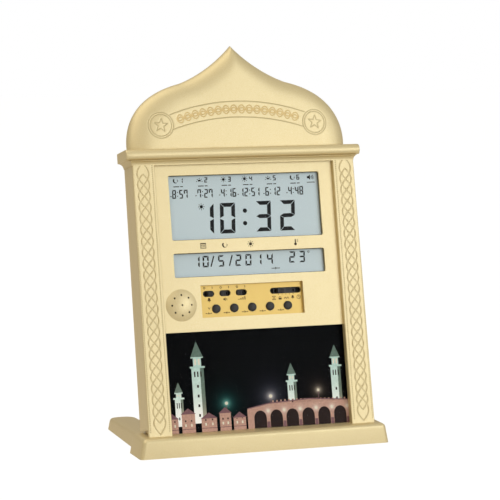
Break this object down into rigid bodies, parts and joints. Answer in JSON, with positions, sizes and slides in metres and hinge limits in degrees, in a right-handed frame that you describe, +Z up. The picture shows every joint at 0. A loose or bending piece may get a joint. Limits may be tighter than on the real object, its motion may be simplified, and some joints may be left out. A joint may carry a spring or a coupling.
{
  "type": "azan clock",
  "caption": "Prayer-time clock: leaned display body with a dome crown, two LCD windows, picture pane, switches and buttons, on a plinth with rear legs.",
  "frame": {"origin": "on the table, at the centre of the footprint", "axes": "+X to the viewer's right along the plinth, +Y to the back, +Z up"},
  "size_m": [0.2454, 0.16, 0.3722],
  "materials": {
    "gold_paint": "satin champagne gold lacquer on moulded plastic",
    "clear_pane": "clear acrylic sheet",
    "lcd": "grey reflective display glass",
    "white_plastic": "milky light guide",
    "board": "solder-masked circuit board",
    "black_plastic": "moulded black plastic",
    "control_foil": "printed golden overlay",
    "steel": "plated steel",
    "picture": "printed picture sheet",
    "card": "backing card",
    "cell_wrap": "cell sleeve",
    "wire": "insulated wire",
    "connector": "elastomeric contact strip",
    "pad_rubber": "matt rubber"
  },
  "bodies": {
    "clock": {"front_housing": "gold_paint", "rear_cover": "gold_paint", "window_upper": "clear_pane", "window_lower": "clear_pane", "lcd_upper": "lcd", "lcd_lower": "lcd", "backlight_upper": "white_plastic", "backlight_lower": "white_plastic", "lcd_connectors": "connector", "main_board": "board", "board_parts": "black_plastic", "temperature_sensor": "black_plastic", "key_board": "board", "tact_switches": "steel", "switch_bodies": "black_plastic", "mode_switch_body": "black_plastic", "control_plate": "control_foil", "speaker_frame": "steel", "speaker_cone": "black_plastic", "speaker_leads": "wire", "picture_pane": "clear_pane", "picture_print": "picture", "picture_backing": "card", "battery_cells": "cell_wrap", "battery_contacts": "steel", "power_leads": "wire", "dc_jack": "black_plastic", "wall_hanger": "steel", "hanger_screws": "steel", "board_screws": "steel", "case_screws": "steel", "plinth": "gold_paint", "leg_left": "gold_paint", "leg_right": "gold_paint", "leg_screws": "steel", "stand_screws": "steel", "foot_pads": "pad_rubber"},
    "button_1": {"button_1": "black_plastic"},
    "button_2": {"button_2": "black_plastic"},
    "button_3": {"button_3": "black_plastic"},
    "button_4": {"button_4": "black_plastic"},
    "button_5": {"button_5": "black_plastic"},
    "switch_knob_1": {"switch_knob_1": "black_plastic"},
    "switch_knob_2": {"switch_knob_2": "black_plastic"},
    "switch_knob_3": {"switch_knob_3": "black_plastic"},
    "mode_knob": {"mode_knob": "black_plastic"},
    "battery_door": {"battery_door": "gold_paint"}
  },
  "joints": [
    {"name": "button_1_press", "type": "slide", "parent": "clock", "child": "button_1", "axis": [0, 0.9767, -0.2147], "range_m": [0, 0.0008], "stiffness_N_per_m": 500, "springref_m": -0.001},
    {"name": "button_2_press", "type": "slide", "parent": "clock", "child": "button_2", "axis": [0, 0.9767, -0.2147], "range_m": [0, 0.0008], "stiffness_N_per_m": 500, "springref_m": -0.001},
    {"name": "button_3_press", "type": "slide", "parent": "clock", "child": "button_3", "axis": [0, 0.9767, -0.2147], "range_m": [0, 0.0008], "stiffness_N_per_m": 500, "springref_m": -0.001},
    {"name": "button_4_press", "type": "slide", "parent": "clock", "child": "button_4", "axis": [0, 0.9767, -0.2147], "range_m": [0, 0.0008], "stiffness_N_per_m": 500, "springref_m": -0.001},
    {"name": "button_5_press", "type": "slide", "parent": "clock", "child": "button_5", "axis": [0, 0.9767, -0.2147], "range_m": [0, 0.0008], "stiffness_N_per_m": 500, "springref_m": -0.001},
    {"name": "switch_1_slide", "type": "slide", "parent": "clock", "child": "switch_knob_1", "axis": [1, 0, 0], "range_m": [-0.0036, 0]},
    {"name": "switch_2_slide", "type": "slide", "parent": "clock", "child": "switch_knob_2", "axis": [1, 0, 0], "range_m": [0, 0.0036]},
    {"name": "switch_3_slide", "type": "slide", "parent": "clock", "child": "switch_knob_3", "axis": [1, 0, 0], "range_m": [0, 0.0036]},
    {"name": "mode_slide", "type": "slide", "parent": "clock", "child": "mode_knob", "axis": [1, 0, 0], "range_m": [-0.0037, 0.0111]},
    {"name": "battery_door_swing", "type": "hinge", "parent": "clock", "child": "battery_door", "pos_m": [0, -0.03971, 0.03733], "axis": [-1, 0, 0], "range_deg": [0, 90]}
  ]
}
